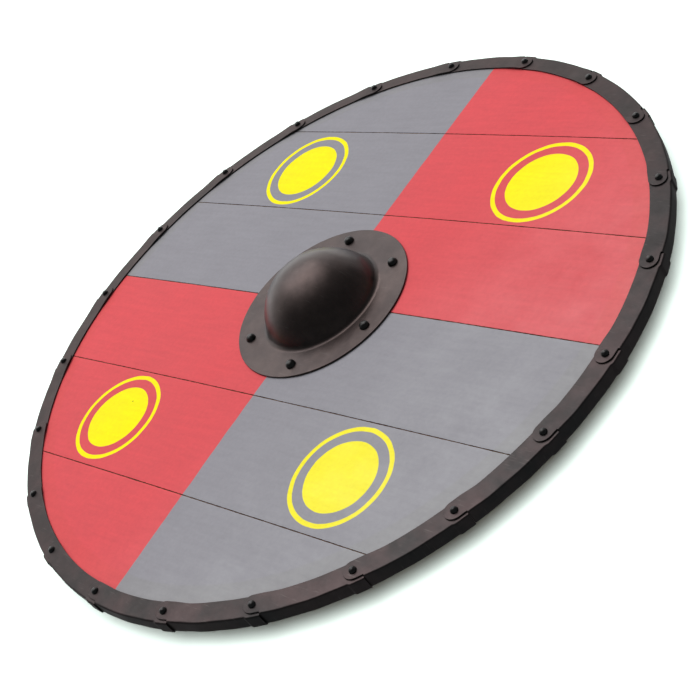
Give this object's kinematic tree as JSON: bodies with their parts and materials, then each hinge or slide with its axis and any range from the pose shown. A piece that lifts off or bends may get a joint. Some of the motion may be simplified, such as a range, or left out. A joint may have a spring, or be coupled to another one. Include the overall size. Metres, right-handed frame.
{
  "type": "wooden round shield",
  "caption": "Round plank shield lying on its back, with a lapped and riveted steel rim, a domed steel boss over a hand hole, and a wooden grip across the back.",
  "frame": {"origin": "on the floor, on the rim's axis, under the grip", "axes": "+Z out of the painted face through the boss, +X along the boards"},
  "size_m": [0.7642, 0.7633, 0.0937],
  "materials": {
    "painted_boards": "boards brush painted on the face in grey and red quarters with ringed yellow roundels, satin, bare oiled wood behind",
    "rim_steel": "mild steel sheet, blackened and rubbed back, satin, with scuffs",
    "boss_steel": "dished mild steel, blackened and oiled, satin to half gloss",
    "rivet_steel": "black steel rivets with hammered round heads, half gloss",
    "grip_wood": "ash, planed and oiled"
  },
  "bodies": {
    "root": {"board_1": "painted_boards", "board_2": "painted_boards", "board_3": "painted_boards", "board_4": "painted_boards", "board_5": "painted_boards", "board_6": "painted_boards", "rim_segment_01": "rim_steel", "rim_segment_02": "rim_steel", "rim_segment_03": "rim_steel", "rim_segment_04": "rim_steel", "rim_segment_05": "rim_steel", "rim_segment_06": "rim_steel", "rim_segment_07": "rim_steel", "rim_segment_08": "rim_steel", "rim_segment_09": "rim_steel", "rim_segment_10": "rim_steel", "rim_segment_11": "rim_steel", "rim_segment_12": "rim_steel", "rim_segment_13": "rim_steel", "rim_segment_14": "rim_steel", "rim_segment_15": "rim_steel", "rim_segment_16": "rim_steel", "rim_segment_17": "rim_steel", "rim_segment_18": "rim_steel", "rim_segment_19": "rim_steel", "rim_segment_20": "rim_steel", "rim_segment_21": "rim_steel", "rim_segment_22": "rim_steel", "rim_rivet_01": "rivet_steel", "rim_rivet_02": "rivet_steel", "rim_rivet_03": "rivet_steel", "rim_rivet_04": "rivet_steel", "rim_rivet_05": "rivet_steel", "rim_rivet_06": "rivet_steel", "rim_rivet_07": "rivet_steel", "rim_rivet_08": "rivet_steel", "rim_rivet_09": "rivet_steel", "rim_rivet_10": "rivet_steel", "rim_rivet_11": "rivet_steel", "rim_rivet_12": "rivet_steel", "rim_rivet_13": "rivet_steel", "rim_rivet_14": "rivet_steel", "rim_rivet_15": "rivet_steel", "rim_rivet_16": "rivet_steel", "rim_rivet_17": "rivet_steel", "rim_rivet_18": "rivet_steel", "rim_rivet_19": "rivet_steel", "rim_rivet_20": "rivet_steel", "rim_rivet_21": "rivet_steel", "rim_rivet_22": "rivet_steel", "boss": "boss_steel", "boss_rivet_1": "rivet_steel", "boss_rivet_2": "rivet_steel", "boss_rivet_3": "rivet_steel", "boss_rivet_4": "rivet_steel", "boss_rivet_5": "rivet_steel", "boss_rivet_6": "rivet_steel", "hand_grip": "grip_wood"}
  },
  "joints": []
}
